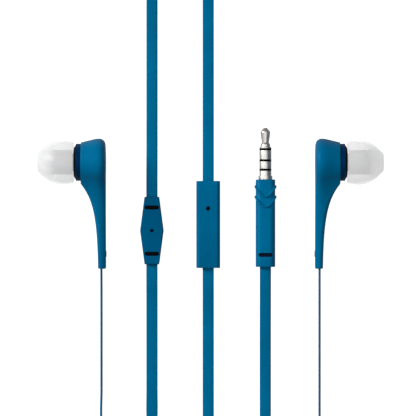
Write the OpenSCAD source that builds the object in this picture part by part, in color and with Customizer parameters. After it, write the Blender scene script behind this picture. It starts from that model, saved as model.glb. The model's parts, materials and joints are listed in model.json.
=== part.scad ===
// Wired in-ear earphones with a flat cable, a microphone remote, a diamond
// splitter and a 3.5 mm four-pole plug, laid out on a flat surface at z = 0.
// The origin is midway between the two earbuds; the tips point outwards along X.

/* [Earbuds] */
// Distance from the middle to the outer face of each housing
face_x = 30.75; // [25:0.05:40]
// Height of the ear tip's axis above the resting surface
tip_z = 6.95; // [6.95:0.05:8]
// Place of the ear tip's axis along Y
tip_y = 12; // [8:0.5:16]
// Lean of the housing that brings its stem down to the surface, in degrees
lean = 8.1; // [7:0.1:8.1]
// Largest radius of the housing's round head
head_r = 6.95; // [6.8:0.05:6.95]
// Depth of the head along the ear tip's axis
head_depth = 7.25; // [7.2:0.05:8]
// Distance from the ear tip's axis to the stem's lower end
stem_length = 31.3; // [28:0.1:31.3]
// Radius of the housing's driver chamber
chamber_r = 5.15; // [5.1:0.05:5.3]

/* [Ear tip] */
// Largest radius of the silicone ear tip
tip_r = 6.55; // [6:0.05:6.55]
// Radius of the ear tip's flat nose
tip_nose_r = 2.6; // [2.5:0.05:3]
// Radius of the sound bore at the nose
tip_bore_r = 1.5; // [1.2:0.1:1.8]
// Outer radius of the ear tip's inner sleeve
tip_core_r = 3.6; // [3.4:0.1:4]

/* [Cable] */
// Width of the flat cable
cable_w = 3.3; // [3:0.1:3.3]
// Thickness of the cable between the plug and the splitter
cable_t = 0.9; // [0.7:0.05:0.9]
// Thickness of each ear lead
lead_t = 0.62; // [0.5:0.02:0.64]

/* [Remote] */
// Width of the remote
remote_w = 7; // [6.5:0.1:8]
// Length of the remote
remote_length = 25.6; // [25.6:0.1:27]
// Thickness of the remote
remote_t = 4.4; // [4.4:0.1:4.6]
// Radius of the microphone hole
mic_hole_r = 0.6; // [0.4:0.05:0.8]

/* [Splitter] */
// Width of the splitter at its waist
splitter_w = 6.9; // [6.6:0.1:8]
// Width of the splitter at its two ends
splitter_end_w = 4.3; // [4.2:0.1:5]
// Length of the splitter
splitter_length = 19.9; // [19.9:0.1:22]
// Thickness of the splitter
splitter_t = 4.2; // [4.2:0.1:4.6]

/* [Plug] */
// Width of the plug's grip
grip_w = 5.75; // [5.6:0.05:5.9]
// Length of the plug's grip
grip_length = 25.7; // [25.7:0.1:27]
// Thickness of the plug's grip
grip_t = 4.8; // [4.6:0.1:4.8]
// Radius of the plug pin
pin_r = 1.75; // [1.75:0.01:1.75]

/* [Hidden] */
$fn = 64;

blue = "#00618d";
dark_blue = "#00486f";
black = "#15171a";
steel = "#b9babd";

gap = 0.05;            // clearance between pieces that slide in or are glued in
notch = cable_w + 0.2; // width of the slots that take the cable

// Places of the pieces on the cable: the middle of the remote and splitter,
// and the end of the grip that the pin comes out of
remote_at = [-0.68, -6.25, remote_t / 2];
splitter_at = [-17.25, -8.05, splitter_t / 2];
plug_at = [16.15, 6.97, 2.6];

// Routes along the cable's middle: x, y, z and twist in degrees, 0 lying flat
plug_route = [
    [16.15, -17.3, 2.6, 0], [16.15, -24, 2.25, 0], [16.15, -31, 1.2, 0],
    [16.15, -38, 0.55, 0], [16.15, -46, 0.45, 0], [16.15, -56, 0.45, 0],
    [16.15, -64, 0.45, 0], [16.15, -68, 1.25, 30], [16.15, -71.5, 1.7, 60],
    [16.15, -75.5, 1.7, 90], [17, -80.3, 1.8, 90], [20.5, -86.7, 2.05, 90]
];
remote_route = [
    [3, -81.9, 2.05, 90], [1, -79.8, 1.9, 90], [-0.35, -77, 1.8, 90],
    [-0.68, -73.8, 1.7, 90], [-0.68, -70.5, 1.7, 60], [-0.68, -67, 1.25, 30],
    [-0.68, -63.5, 0.45, 0], [-0.68, -55, 0.45, 0], [-0.68, -46, 0.45, 0],
    [-0.68, -37, 0.55, 0], [-0.68, -30, 1.1, 0], [-0.68, -24, 1.9, 0],
    [-0.68, -17.8, 2.2, 0]
];
link_route = [
    [-0.68, 5.3, 2.2, 0], [-0.68, 11, 1.95, 0], [-0.68, 17, 1.15, 0],
    [-0.68, 24, 0.55, 0], [-0.68, 33, 0.45, 0], [-0.68, 42, 0.45, 0],
    [-0.68, 51, 0.45, 0], [-0.68, 60.5, 0.45, 0], [-0.68, 64, 1.25, 30],
    [-0.68, 67.5, 1.7, 60], [-0.68, 71, 1.7, 90], [-1.8, 75.1, 1.7, 90],
    [-4.8, 78.2, 1.7, 90], [-8.96, 79.3, 1.7, 90], [-13.1, 78.2, 1.7, 90],
    [-16.1, 75.1, 1.7, 90], [-17.25, 71, 1.7, 90], [-17.25, 67.5, 1.7, 60],
    [-17.25, 64, 1.25, 30], [-17.25, 60.5, 0.45, 0], [-17.25, 51, 0.45, 0],
    [-17.25, 42, 0.45, 0], [-17.25, 33, 0.45, 0], [-17.25, 20, 0.55, 0],
    [-17.25, 13, 1.1, 0], [-17.25, 7, 1.85, 0], [-17.25, 0.7, 2.1, 0]
];
left_route = [
    [-17.25, -16.8, 1.77, 0], [-17.25, -23, 1.5, 0], [-17.25, -29, 0.8, 0],
    [-17.25, -36, 0.36, 0], [-17.25, -46, 0.32, 0], [-17.25, -55, 0.32, 0],
    [-17.25, -63, 0.32, 0], [-17.42, -66.5, 1.1, -30], [-17.55, -70, 1.6, -60],
    [-17.62, -73.5, 1.7, -90], [-17.66, -81, 1.8, -90], [-17.67, -89, 2.05, -90]
];
left_end_route = [
    [-26.9, -77.5, 2.05, -90], [-29.9, -73.2, 1.85, -90], [-31.6, -69.2, 1.7, -90],
    [-32.1, -65, 1.68, -90], [-32.1, -55, 1.68, -90], [-32.1, -45, 1.68, -90],
    [-32.1, -35, 1.68, -90], [-32.1, -29, 1.72, -90], [-32.1, -24, 1.95, -90],
    [-32.1, -19, 2.54, -90], [-32.1, -13, 3.39, -90]
];
right_route = [
    [-17.25, -16.8, 2.43, 0], [-17.25, -23, 2.16, 0], [-17.25, -29, 1.46, 0],
    [-17.25, -36, 1.02, 0], [-17.25, -46, 0.98, 0], [-17.25, -55, 0.98, 0],
    [-17.25, -63, 0.99, 0], [-17.06, -66.5, 1.8, -30], [-16.88, -70, 2, -60],
    [-16.8, -73.5, 1.7, -90], [-16.2, -80, 1.68, -90], [-15.9, -88, 1.68, -90],
    [-15.9, -96, 1.68, -90], [-15.9, -104, 1.68, -90], [-13.8, -113.5, 1.68, -90],
    [-7.9, -121.2, 1.68, -90], [0.7, -125.6, 1.68, -90], [8.5, -126.3, 1.68, -90],
    [17, -125, 1.68, -90], [26, -121.6, 1.68, -90], [34, -117.8, 1.8, -90],
    [39.5, -115.1, 1.95, -90], [43.5, -113.9, 2.1, -90]
];
right_end_route = [
    [31.9, -84.5, 2.05, -90], [32.1, -79, 1.85, -90], [32.1, -72, 1.7, -90],
    [32.1, -64, 1.68, -90], [32.1, -55, 1.68, -90], [32.1, -45, 1.68, -90],
    [32.1, -35, 1.68, -90], [32.1, -29, 1.72, -90], [32.1, -24, 1.95, -90],
    [32.1, -19, 2.54, -90], [32.1, -13, 3.39, -90]
];

// Coils of the spare cable, on edge: middle and outer radius, and the ties' angles
coil_z = 0.5;
coil_inner_r = 15.2;
main_coil_at = [6.5, -104];
main_coil_r = 21.3;
left_coil_at = [-37, -95];
left_coil_r = 19.7;
right_coil_at = [48, -95];
right_coil_r = 18.6;
main_tie_angles = [150, 330];
left_tie_angles = [150, 330];
right_tie_angles = [120, 300];
tie_w = 4;

function unit(v) = v / norm(v);
function place(p) = [p[0], p[1], p[2]];
function heading(route, i) =
    unit(place(route[min(i + 1, len(route) - 1)]) - place(route[max(i - 1, 0)]));
function arc(centre, r, from, to, steps = 8) =
    [for (i = [0:steps]) let (a = from + (to - from) * i / steps)
        centre + r * [cos(a), sin(a)]];

// Corners of a flat cable's section, with small bevels
function ribbon_section(w, t) =
    let (b = t / 5, x = w / 2, y = t / 2)
    [[x - b, -y], [x, b - y], [x, y - b], [x - b, y],
     [b - x, y], [-x, y - b], [-x, b - y], [b - x, -y]];

// One ring of the swept cable, turned by the route's own twist
function ribbon_ring(route, i, section) =
    let (t = heading(route, i), side = unit(cross(t, [0, 0, 1])), up = cross(side, t),
        a = route[i][3], s = side * cos(a) - up * sin(a), n = up * cos(a) + side * sin(a))
    [for (c = section) place(route[i]) + c[0] * s + c[1] * n];

module ribbon(route, t) {
    section = ribbon_section(cable_w, t);
    k = len(section);
    last = len(route) - 1;
    points = [for (i = [0:last]) each ribbon_ring(route, i, section)];
    // The wide faces' diagonals run the same way, so that stacked cables nest
    walls = [for (i = [0:last - 1], j = [0:k - 1])
        let (a = i * k + j, b = i * k + (j + 1) % k, c = a + k, d = b + k)
            each (j < k / 2 ? [[a, b, d], [a, d, c]] : [[a, b, c], [b, d, c]])];
    caps = [[for (j = [k - 1:-1:0]) j], [for (j = [0:k - 1]) last * k + j]];
    polyhedron(points = points, faces = concat(walls, caps));
}

// A body turned about the ear tip's axis, from [radius, depth] points
module turned(points) {
    rotate([0, 90, 0]) rotate_extrude() polygon(points);
}

module tube_along_axis(inner_r, outer_r, from, to) {
    turned([[inner_r, from], [outer_r, from], [outer_r, to], [inner_r, to]]);
}

module disc_along_axis(r, from, to) {
    translate([from, 0, 0]) rotate([0, 90, 0]) cylinder(r = r, h = to - from);
}

// Puts an earbud's piece in place: side is 1 for the right bud, -1 for the left
module on_bud(side) {
    mirror([side < 0 ? 1 : 0, 0, 0])
        translate([face_x, tip_y, tip_z])
            rotate([lean, 0, 0])
                children();
}

module head() {
    corner = arc([head_r - 1.85, 1.85], 1.85, -90, 0);
    turned(concat([[0, 0]], corner,
        [[head_r, 2.3], [head_r - 1.15, head_depth - 0.25],
         [head_r - 1.4, head_depth], [0, head_depth]]));
}

// Seen from the front the stem flares into the head; seen along the ear tip's
// axis it tapers to the flat cable's width
module stem() {
    flare = [for (v = [-stem_length:1.25:-6.25]) [2.2 + 5.18 * exp((v + 5.8) / 6.6), v]];
    taper = [for (v = [-stem_length:1.1:-4]) [2.4 + 3.28 * exp((v + 4) / 4.7), v]];
    taper_back = [for (i = [len(taper) - 1:-1:0]) [-taper[i][0], taper[i][1]]];
    intersection() {
        translate([0, 0, -head_r])
            linear_extrude(2 * head_r)
                polygon(concat([[0, -stem_length]], flare, [[7, -5.2], [7, 0], [0, 0]]));
        rotate([90, 0, 90])
            linear_extrude(head_depth)
                polygon([for (p = concat(taper, taper_back)) [p[1], p[0]]]);
    }
}

module rear_housing(side) {
    channel_u = 0.95;
    channel_t = lead_t + 0.2;
    color(blue)
        on_bud(side)
            difference() {
                union() {
                    head();
                    stem();
                }
                disc_along_axis(chamber_r, 1.4, head_depth + 1);
                translate([channel_u, -stem_length - 1, -notch / 2])
                    cube([channel_t, stem_length - 3, notch]);
            }
}

// Collar that closes the housing's front, with a lip inside the driver chamber
module front_cap(side) {
    r = 5.45;
    front = head_depth + 1.45;
    color(blue)
        on_bud(side)
            turned([[3.35, head_depth - 0.75], [chamber_r - gap, head_depth - 0.75],
                [chamber_r - gap, head_depth], [r - 0.2, head_depth],
                [r, head_depth + 0.2], [r, front - 0.2], [r - 0.2, front], [3.35, front]]);
}

// Black spout with a chamfered flange and a low bead that the ear tip grips
module nozzle(side) {
    base = head_depth + 1.45;
    color(black)
        on_bud(side)
            turned([[1.9, head_depth], [3.3, head_depth], [3.3, base], [5.2, base],
                [4.1, base + 0.65], [2.65, base + 0.65], [2.65, base + 4],
                [2.8, base + 4.3], [2.8, base + 4.9], [2.5, base + 5.4],
                [1.9, base + 5.4]]);
}

module nozzle_mesh(side) {
    color(steel) on_bud(side) disc_along_axis(1.88, head_depth + 6.2, head_depth + 6.5);
}

// Moving-coil driver: basket with a magnet, and a diaphragm that carries the coil
module driver_frame(side) {
    color(steel)
        on_bud(side)
            turned([[1.2, 2.4], [3.6, 2.4], [4.95, 3.9], [4.95, 6.45], [4.7, 6.45],
                [4.7, 4.1], [3.5, 2.75], [1.2, 2.75]]);
}

module driver_magnet(side) {
    color("#6f7378") on_bud(side) tube_along_axis(0.6, 2.5, 2.75, 4.6);
}

module voice_coil(side) {
    color("#b8763a") on_bud(side) tube_along_axis(2.75, 2.95, 3.9, 5.6);
}

module diaphragm(side) {
    dome = arc([0, 2.6], 4, 42, 90, 6);
    dome_back = [for (i = [len(dome) - 1:-1:0]) dome[i] - [0, 0.12]];
    color("#d8d2c4")
        on_bud(side)
            turned(concat([[4.55, 5.6], [4.55, 5.72], [3.1, 5.72]],
                [for (p = dome) [min(p[0], 2.97), max(p[1] - 0.2, 5.72)]],
                [for (p = dome_back) [min(p[0], 2.97), max(p[1] - 0.2, 5.6)]]));
}

// Felt disc that closes the hole behind the magnet
module damper(side) {
    color("#3a3d40") on_bud(side) disc_along_axis(1.6, 2.1, 2.4);
}

// Silicone ear tip: a thin dome that folds back over a sleeve on the nozzle
module ear_tip(side) {
    nose = 20;
    hem = 9.3;
    widest = 12.8;
    sleeve_r = 2.85;
    outer = [for (t = [0:0.1:1])
        [tip_nose_r + (tip_r - tip_nose_r) * (1 - pow(t, 2.1)), widest + (nose - widest) * t]];
    inner = [for (t = [0.8:-0.1:0])
        [tip_nose_r - 0.3 + (tip_r - tip_nose_r - 0.3) * (1 - pow(t, 2.1)),
         widest + (nose - 1 - widest) * t]];
    color("#eef1f3")
        on_bud(side)
            turned(concat([[tip_r - 0.5, hem]], outer, [[tip_bore_r, nose]],
                [[tip_bore_r, 15.4], [sleeve_r, 15.2], [sleeve_r, 9.75], [tip_core_r, 9.75],
                 [tip_core_r, 16.9]],
                [for (p = inner) if (p[0] > tip_core_r + 0.3) p], [[tip_r - 1.05, hem + 0.5]]));
}

module half_remote_section(side) {
    x = remote_w / 2;
    z = side * remote_t / 2;
    polygon([[-x, 0], [x, 0], [x, z - side * 0.7], [x - 0.8, z], [0.8 - x, z],
        [-x, z - side * 0.7]]);
}

module remote_half(side) {
    inner = [remote_w - 1.6, remote_length - 3.2, remote_t - 1.6];
    difference() {
        rotate([90, 0, 0])
            linear_extrude(remote_length, center = true)
                half_remote_section(side);
        cube(inner, center = true);
        cube([notch, remote_length + 1, cable_t + 0.3], center = true);
    }
}

mic_y = 4.69;
button_y = -2.6;

module remote_front_shell() {
    color(blue)
        translate(remote_at)
            difference() {
                remote_half(1);
                translate([0, mic_y, 0]) cylinder(r = mic_hole_r, h = remote_t);
            }
}

// Rectangle with round corners, kept as true arcs
module round_rect(w, h, r) {
    square([w - 2 * r, h], center = true);
    square([w, h - 2 * r], center = true);
    for (x = [r - w / 2, w / 2 - r], y = [r - h / 2, h / 2 - r])
        translate([x, y]) circle(r);
}

module remote_rear_shell() {
    color(blue)
        translate(remote_at)
            difference() {
                remote_half(-1);
                translate([0, button_y, -remote_t])
                    linear_extrude(remote_t) round_rect(3.6, 8, 1);
            }
}

// Button on the back, just below flush, with a rim inside and a stub for the switch
module remote_button() {
    floor_z = 0.8 - remote_t / 2;
    color(dark_blue)
        translate(remote_at + [0, button_y, floor_z])
            union() {
                translate([0, 0, -0.65]) linear_extrude(0.76) round_rect(3.4, 7.8, 0.9);
                translate([0, 0, 0.1]) linear_extrude(0.25) round_rect(4.4, 8.8, 0.9);
                translate([0, 0, 0.3]) cylinder(r = 0.6, h = 0.3);
            }
}

module remote_board() {
    color("#1d5b3a")
        translate(remote_at + [0, 0, 0.05])
            cube([4.8, 19, 0.5], center = true);
}

module remote_dome_switch() {
    color(steel)
        translate(remote_at + [0, button_y, 0])
            translate([0, 0, -0.8])
                rotate_extrude()
                    polygon([[0, 0], [0.7, 0], [1.5, 0.6], [0, 0.6]]);
}

module remote_microphone() {
    color("#c9a45a")
        translate(remote_at + [0, mic_y, 0.3])
            translate([-1.3, -1.7, 0]) cube([2.6, 3.4, 0.9]);
}

module remote_mic_screen() {
    color(black) translate(remote_at + [0, mic_y, 1.2]) cylinder(r = 1, h = 0.18);
}

module diamond(inset) {
    x = splitter_end_w / 2 - inset;
    y = splitter_length / 2;
    polygon([[x, y], [splitter_w / 2 - inset, 0], [x, -y],
        [-x, -y], [inset - splitter_w / 2, 0], [-x, y]]);
}

module slot(w, h) {
    square([w - h, h], center = true);
    for (x = [h - w, w - h] / 2)
        translate([x, 0]) circle(h / 2);
}

slot_y = 6.8;

module splitter_shell(side) {
    edge = 0.6;
    half = splitter_t / 2;
    color(blue)
        translate(splitter_at)
            mirror([0, 0, side < 0 ? 1 : 0])
                difference() {
                    union() {
                        linear_extrude(half - edge / 2) diamond(0);
                        linear_extrude(half) diamond(edge);
                    }
                    translate([0, 0, -1])
                        linear_extrude(half + 0.25)
                            intersection() {
                                diamond(0.8);
                                square([splitter_w, splitter_length - 3], center = true);
                            }
                    for (y = [-slot_y, slot_y])
                        translate([0, y]) linear_extrude(splitter_t) slot(4.2, 1.2);
                    cylinder(r = 0.52, h = splitter_t);
                    cube([notch, splitter_length + 1, 2 * lead_t + 0.3], center = true);
                }
}

// Black block inside that holds the cable's ends; it shows through the slots
module splitter_clamp() {
    half = splitter_t / 2 - 0.8;
    length = splitter_length - 3.5;
    color(black)
        translate(splitter_at + [0, 0, -half])
            linear_extrude(2 * half)
                intersection() {
                    diamond(0.85);
                    square([splitter_w, length], center = true);
                }
}

// A body turned about the plug pin's axis, from [radius, distance] points
module pin_part(points) {
    translate(plug_at) rotate([-90, 0, 0]) rotate_extrude() polygon(points);
}

collar = 1.1;
rod_r = 0.5;
sleeve_r = 0.9;
barrel_end = collar + 1.45;
ring_2_start = collar + 2.05;
ring_2_end = collar + 4.2;
ring_1_start = collar + 4.8;
ring_1_end = collar + 7.5;
tip_start = collar + 8.1;
shank_end = -1.5;

module plug_tip() {
    color(steel)
        pin_part([[0, shank_end + 0.3], [rod_r - 0.02, shank_end + 0.3],
            [rod_r - 0.02, tip_start], [pin_r, tip_start], [pin_r, tip_start + 0.25],
            [1.4, tip_start + 0.4], [1.4, tip_start + 1.1], [1.02, tip_start + 1.7],
            [1.45, tip_start + 4.6], [1.4, tip_start + 5], [1, tip_start + 5.5],
            [0.55, tip_start + 5.9], [0, tip_start + 6]]);
}

module pin_ring(from, to) {
    color(steel)
        pin_part([[sleeve_r + 0.02, from], [pin_r, from], [pin_r, to], [sleeve_r + 0.02, to]]);
}

module plug_barrel() {
    color(steel)
        pin_part([[sleeve_r + 0.02, shank_end], [1.45, shank_end], [1.45, 0], [2.05, 0],
            [2.05, collar], [pin_r, collar], [pin_r, barrel_end],
            [sleeve_r + 0.02, barrel_end]]);
}

module plug_insulator() {
    color(black)
        pin_part([[rod_r, shank_end], [sleeve_r, shank_end],
            [sleeve_r, barrel_end], [pin_r, barrel_end],
            [pin_r, ring_2_start], [sleeve_r, ring_2_start],
            [sleeve_r, ring_2_end], [pin_r, ring_2_end],
            [pin_r, ring_1_start], [sleeve_r, ring_1_start],
            [sleeve_r, ring_1_end], [pin_r, ring_1_end],
            [pin_r, tip_start], [rod_r, tip_start]]);
}

grip_wall = 1.5;
grip_slot_y = -22.17;
grip_corner = 0.9;

module plug_grip() {
    ridge_r = 2.4;
    color(blue)
        translate(plug_at)
            difference() {
                union() {
                    rotate([90, 0, 0])
                        linear_extrude(grip_length)
                            round_rect(grip_w, grip_t, grip_corner);
                    for (y = [-2.27, -5.29])
                        translate([0, y, -grip_t / 2 - 0.2])
                            half_ring(ridge_r, ridge_r + 0.65, grip_t + 0.4);
                }
                translate([-2.1, -grip_length + grip_wall, -1.65])
                    cube([4.2, grip_length - 2 * grip_wall, 3.3]);
                rotate([90, 0, 0]) cylinder(r = 1.5, h = grip_wall + 0.5);
                translate([-notch / 2, -grip_length - 1, -cable_t / 2 - 0.15])
                    cube([notch, grip_wall + 1.5, cable_t + 0.3]);
                translate([0, grip_slot_y, -grip_t])
                    linear_extrude(2 * grip_t) slot(4.15, 1.15);
            }
}

module half_ring(inner_r, outer_r, h) {
    intersection() {
        difference() {
            cylinder(r = outer_r, h = h);
            translate([0, 0, -1]) cylinder(r = inner_r, h = h + 2);
        }
        translate([-2 * outer_r, -2 * outer_r, 0]) cube([4 * outer_r, 2 * outer_r, h]);
    }
}

module plug_core() {
    color(dark_blue)
        translate(plug_at)
            translate([-2.05, -grip_length + grip_wall + 0.1, -1.6])
                cube([4.1, grip_length - 2 * grip_wall - 0.2, 3.2]);
}

module coil(at, r) {
    translate([at[0], at[1], coil_z])
        difference() {
            cylinder(r = r, h = cable_w + 0.1);
            translate([0, 0, -1]) cylinder(r = coil_inner_r, h = cable_w + 2);
        }
}

// Flat band round one side of a coil, with a little room for the turns
module tie(at, outer_r, angle) {
    room = 0.1;
    band = 0.4;
    inner = coil_inner_r - 0.25;
    inside = outer_r + room - inner;
    height = cable_w + 0.1 + 2 * room;
    translate([at[0], at[1], coil_z - room])
        rotate(angle)
            translate([inner, tie_w / 2, 0])
                rotate([90, 0, 0])
                    linear_extrude(tie_w)
                        difference() {
                            translate([-band, -band])
                                square([inside + 2 * band, height + 2 * band]);
                            square([inside, height]);
                        }
}

module coil_ties() {
    color(black) {
        for (a = main_tie_angles) tie(main_coil_at, main_coil_r, a);
        for (a = left_tie_angles) tie(left_coil_at, left_coil_r, a);
        for (a = right_tie_angles) tie(right_coil_at, right_coil_r, a);
    }
}

rear_housing(-1);  // left_rear_housing
front_cap(-1);  // left_front_cap
nozzle(-1);  // left_nozzle
nozzle_mesh(-1);  // left_nozzle_mesh
driver_frame(-1);  // left_driver_frame
driver_magnet(-1);  // left_driver_magnet
voice_coil(-1);  // left_voice_coil
diaphragm(-1);  // left_diaphragm
damper(-1);  // left_damper
ear_tip(-1);  // left_ear_tip
rear_housing(1);  // right_rear_housing
front_cap(1);  // right_front_cap
nozzle(1);  // right_nozzle
nozzle_mesh(1);  // right_nozzle_mesh
driver_frame(1);  // right_driver_frame
driver_magnet(1);  // right_driver_magnet
voice_coil(1);  // right_voice_coil
diaphragm(1);  // right_diaphragm
damper(1);  // right_damper
ear_tip(1);  // right_ear_tip
remote_front_shell();
remote_rear_shell();
remote_button();
remote_board();
remote_dome_switch();
remote_microphone();
remote_mic_screen();
splitter_shell(1);  // splitter_front_shell
splitter_shell(-1);  // splitter_rear_shell
splitter_clamp();
plug_tip();
pin_ring(ring_1_start, ring_1_end);  // plug_ring_1
pin_ring(ring_2_start, ring_2_end);  // plug_ring_2
plug_barrel();
plug_insulator();
plug_core();
plug_grip();
color(blue) ribbon(plug_route, cable_t);  // plug_cable
color(blue) ribbon(remote_route, cable_t);  // remote_cable
color(blue) ribbon(link_route, cable_t);  // link_cable
color(blue) ribbon(left_route, lead_t);  // left_lead
color(blue) ribbon(left_end_route, lead_t);  // left_lead_end
color(blue) ribbon(right_route, lead_t);  // right_lead
color(blue) ribbon(right_end_route, lead_t);  // right_lead_end
color(blue) coil(main_coil_at, main_coil_r);  // main_coil
color(blue) coil(left_coil_at, left_coil_r);  // left_coil
color(blue) coil(right_coil_at, right_coil_r);  // right_coil
coil_ties();
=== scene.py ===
"""Wired in-ear earphones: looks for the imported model, in the model's own frame.

Lengths are written in millimetres and turned into metres where meshes are made.
"""
import json
import math

import bmesh
import bpy
from mathutils import Vector
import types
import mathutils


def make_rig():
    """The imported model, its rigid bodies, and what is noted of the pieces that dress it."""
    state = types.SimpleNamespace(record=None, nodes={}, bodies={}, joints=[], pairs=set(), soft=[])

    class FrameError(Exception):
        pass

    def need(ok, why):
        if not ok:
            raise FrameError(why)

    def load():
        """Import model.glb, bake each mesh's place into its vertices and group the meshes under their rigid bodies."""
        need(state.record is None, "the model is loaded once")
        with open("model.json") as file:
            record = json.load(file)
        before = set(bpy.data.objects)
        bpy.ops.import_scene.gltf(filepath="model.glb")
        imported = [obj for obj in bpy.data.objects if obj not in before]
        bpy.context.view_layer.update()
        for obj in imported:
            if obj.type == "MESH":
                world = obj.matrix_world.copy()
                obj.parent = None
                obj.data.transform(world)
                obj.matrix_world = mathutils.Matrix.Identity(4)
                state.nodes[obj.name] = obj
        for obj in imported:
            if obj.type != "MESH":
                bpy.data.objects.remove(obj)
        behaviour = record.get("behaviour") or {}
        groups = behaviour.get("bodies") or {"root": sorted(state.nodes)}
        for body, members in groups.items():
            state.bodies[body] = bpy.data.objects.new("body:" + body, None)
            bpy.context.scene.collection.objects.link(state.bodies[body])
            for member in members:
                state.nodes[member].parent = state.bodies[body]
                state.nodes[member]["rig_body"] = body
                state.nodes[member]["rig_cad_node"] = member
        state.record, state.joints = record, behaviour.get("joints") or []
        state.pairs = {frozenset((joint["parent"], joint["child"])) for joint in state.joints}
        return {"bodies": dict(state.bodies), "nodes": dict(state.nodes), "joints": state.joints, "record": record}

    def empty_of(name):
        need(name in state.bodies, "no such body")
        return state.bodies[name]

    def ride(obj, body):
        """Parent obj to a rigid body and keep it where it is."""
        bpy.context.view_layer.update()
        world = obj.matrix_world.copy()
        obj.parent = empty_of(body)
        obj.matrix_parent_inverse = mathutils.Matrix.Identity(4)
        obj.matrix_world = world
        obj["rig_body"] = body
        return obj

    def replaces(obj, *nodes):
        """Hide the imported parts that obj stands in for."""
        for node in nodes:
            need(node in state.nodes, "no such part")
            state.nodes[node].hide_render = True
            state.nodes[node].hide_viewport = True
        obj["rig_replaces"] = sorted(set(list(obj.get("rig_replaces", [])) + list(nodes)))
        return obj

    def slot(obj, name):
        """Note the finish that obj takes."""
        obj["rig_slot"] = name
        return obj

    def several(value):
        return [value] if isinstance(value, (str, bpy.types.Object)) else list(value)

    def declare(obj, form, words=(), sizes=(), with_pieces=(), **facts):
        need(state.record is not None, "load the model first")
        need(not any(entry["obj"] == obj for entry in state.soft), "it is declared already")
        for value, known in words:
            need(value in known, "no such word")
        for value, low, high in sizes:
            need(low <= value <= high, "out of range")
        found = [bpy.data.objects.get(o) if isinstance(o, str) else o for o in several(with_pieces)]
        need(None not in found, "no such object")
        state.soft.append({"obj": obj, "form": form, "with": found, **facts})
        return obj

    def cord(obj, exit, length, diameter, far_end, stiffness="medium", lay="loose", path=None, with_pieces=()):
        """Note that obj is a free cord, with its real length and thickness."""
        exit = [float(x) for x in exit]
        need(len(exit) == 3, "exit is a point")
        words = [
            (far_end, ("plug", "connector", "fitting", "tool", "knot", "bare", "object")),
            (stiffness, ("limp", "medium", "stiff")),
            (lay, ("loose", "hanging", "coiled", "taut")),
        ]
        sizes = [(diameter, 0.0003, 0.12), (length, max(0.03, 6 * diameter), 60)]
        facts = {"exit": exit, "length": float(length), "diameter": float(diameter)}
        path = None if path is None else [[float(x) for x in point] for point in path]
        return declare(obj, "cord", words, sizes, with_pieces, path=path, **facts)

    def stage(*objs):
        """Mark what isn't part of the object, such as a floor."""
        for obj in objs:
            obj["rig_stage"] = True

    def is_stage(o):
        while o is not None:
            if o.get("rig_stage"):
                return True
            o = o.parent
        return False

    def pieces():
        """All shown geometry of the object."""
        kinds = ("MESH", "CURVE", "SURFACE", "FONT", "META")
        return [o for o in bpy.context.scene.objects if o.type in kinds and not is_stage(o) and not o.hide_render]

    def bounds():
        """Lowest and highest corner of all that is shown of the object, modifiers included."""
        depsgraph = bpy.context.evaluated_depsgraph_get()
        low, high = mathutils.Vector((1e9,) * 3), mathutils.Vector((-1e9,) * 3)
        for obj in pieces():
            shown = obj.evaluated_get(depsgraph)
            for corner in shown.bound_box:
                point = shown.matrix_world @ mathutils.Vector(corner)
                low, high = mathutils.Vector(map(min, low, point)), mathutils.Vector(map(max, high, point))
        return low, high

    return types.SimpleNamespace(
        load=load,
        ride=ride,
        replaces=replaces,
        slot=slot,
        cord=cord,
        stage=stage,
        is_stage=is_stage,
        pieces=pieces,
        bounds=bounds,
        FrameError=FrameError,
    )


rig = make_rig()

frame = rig.load()
cad_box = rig.bounds()

MM = 0.001
ROOT = "earphones"

# ---------------------------------------------------------------- camera
scene = bpy.context.scene
scene.view_settings.view_transform = "Standard"

# A long lens straight above, so that nothing is seen from the side
LENS = 350
SENSOR = 36
FIELD = 122.35  # width seen at the height of LOOK_AT
LOOK_AT = (-0.735, -1.41, 3)

camera_data = bpy.data.cameras.new("camera")
camera_data.lens = LENS
camera_data.sensor_width = SENSOR
camera_data.clip_start = 0.01
camera = bpy.data.objects.new("camera", camera_data)
camera.location = (
    LOOK_AT[0] * MM,
    LOOK_AT[1] * MM,
    (LOOK_AT[2] + FIELD * LENS / SENSOR) * MM,
)
scene.collection.objects.link(camera)
scene.camera = camera

# Shades that share a material slot of the record
RECORD_SLOT = {
    "splitter_blue": "housing_blue",
    "collar_blue": "housing_blue",
    "silicone_core": "silicone",
}


# ---------------------------------------------------------------- mesh helpers
def add_piece(name, verts, faces, slot, body=ROOT, nodes=(), angle=40):
    """A mesh object from millimetre points, smooth but for edges over the angle."""
    mesh = bpy.data.meshes.new(name)
    mesh.from_pydata([Vector(v) * MM for v in verts], [], faces)
    obj = bpy.data.objects.new(name, mesh)
    scene.collection.objects.link(obj)
    clean(obj, angle)
    obj.data.materials.append(MATERIALS[slot])
    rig.ride(obj, body)
    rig.slot(obj, RECORD_SLOT.get(slot, slot))
    if nodes:
        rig.replaces(obj, *nodes)
    return obj


def clean(obj, angle):
    """Welds the mesh, turns its faces outwards and marks its sharp edges."""
    bm = bmesh.new()
    bm.from_mesh(obj.data)
    bmesh.ops.remove_doubles(bm, verts=bm.verts, dist=1e-6)
    bmesh.ops.recalc_face_normals(bm, faces=bm.faces)
    bm.to_mesh(obj.data)
    bm.free()
    obj.data.shade_smooth()
    obj.data.set_sharp_from_angle(angle=math.radians(angle))


def cutter(verts, faces):
    mesh = bpy.data.meshes.new("cutter")
    mesh.from_pydata([Vector(v) * MM for v in verts], [], faces)
    obj = bpy.data.objects.new("cutter", mesh)
    scene.collection.objects.link(obj)
    clean(obj, 40)
    return obj


def apply_modifiers(obj):
    graph = bpy.context.evaluated_depsgraph_get()
    mesh = bpy.data.meshes.new_from_object(obj.evaluated_get(graph))
    obj.modifiers.clear()
    old = obj.data
    obj.data = mesh
    bpy.data.meshes.remove(old)


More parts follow.
